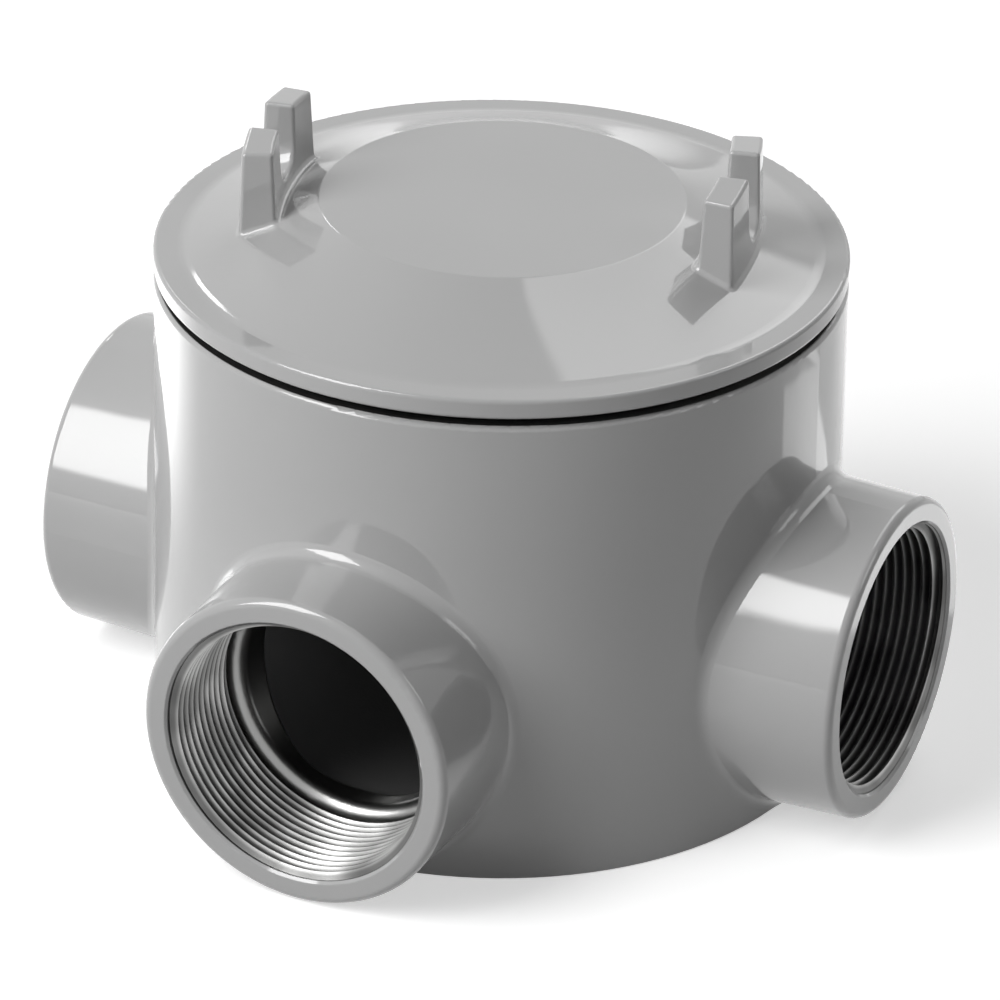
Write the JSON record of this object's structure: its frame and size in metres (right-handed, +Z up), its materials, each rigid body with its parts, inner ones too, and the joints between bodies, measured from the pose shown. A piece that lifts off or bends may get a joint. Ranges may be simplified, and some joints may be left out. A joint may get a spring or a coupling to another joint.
{
  "type": "explosion-proof electrical box",
  "caption": "Round cast explosion-proof conduit junction box in tee pattern, with threaded hubs, integral bushings and a domed screw cover with lugs for a turning bar.",
  "frame": {"origin": "centre of the flat base, on the axis of the barrel and the cover", "axes": "+Z up through the cover, +X out of the right hub, -Y out of the front hub"},
  "size_m": [0.192, 0.1721, 0.1378],
  "materials": {
    "grey_enamel": "glossy mid-grey enamel over a cast aluminium alloy",
    "machined_aluminium": "bare, freshly cut thread",
    "seal_rubber": "matt black synthetic rubber",
    "green_screw": "green dyed zinc plating"
  },
  "bodies": {
    "box": {"box_body": "grey_enamel", "ground_screw": "green_screw"},
    "seal": {"cover_o_ring": "seal_rubber"},
    "cover": {"screw_cover": "grey_enamel"}
  },
  "joints": [
    {"name": "cover_lift", "type": "slide", "parent": "box", "child": "seal", "axis": [0, 0, 1], "range_m": [0, 0.018]},
    {"name": "cover_turn", "type": "hinge", "parent": "seal", "child": "cover", "pos_m": [0, 0, 0.1076], "axis": [0, 0, 1], "range_deg": [0, 3060]}
  ],
  "couplings": [
    {"joint": "cover_lift", "follows": "cover_turn", "m_per_rad": 0.00033688}
  ]
}
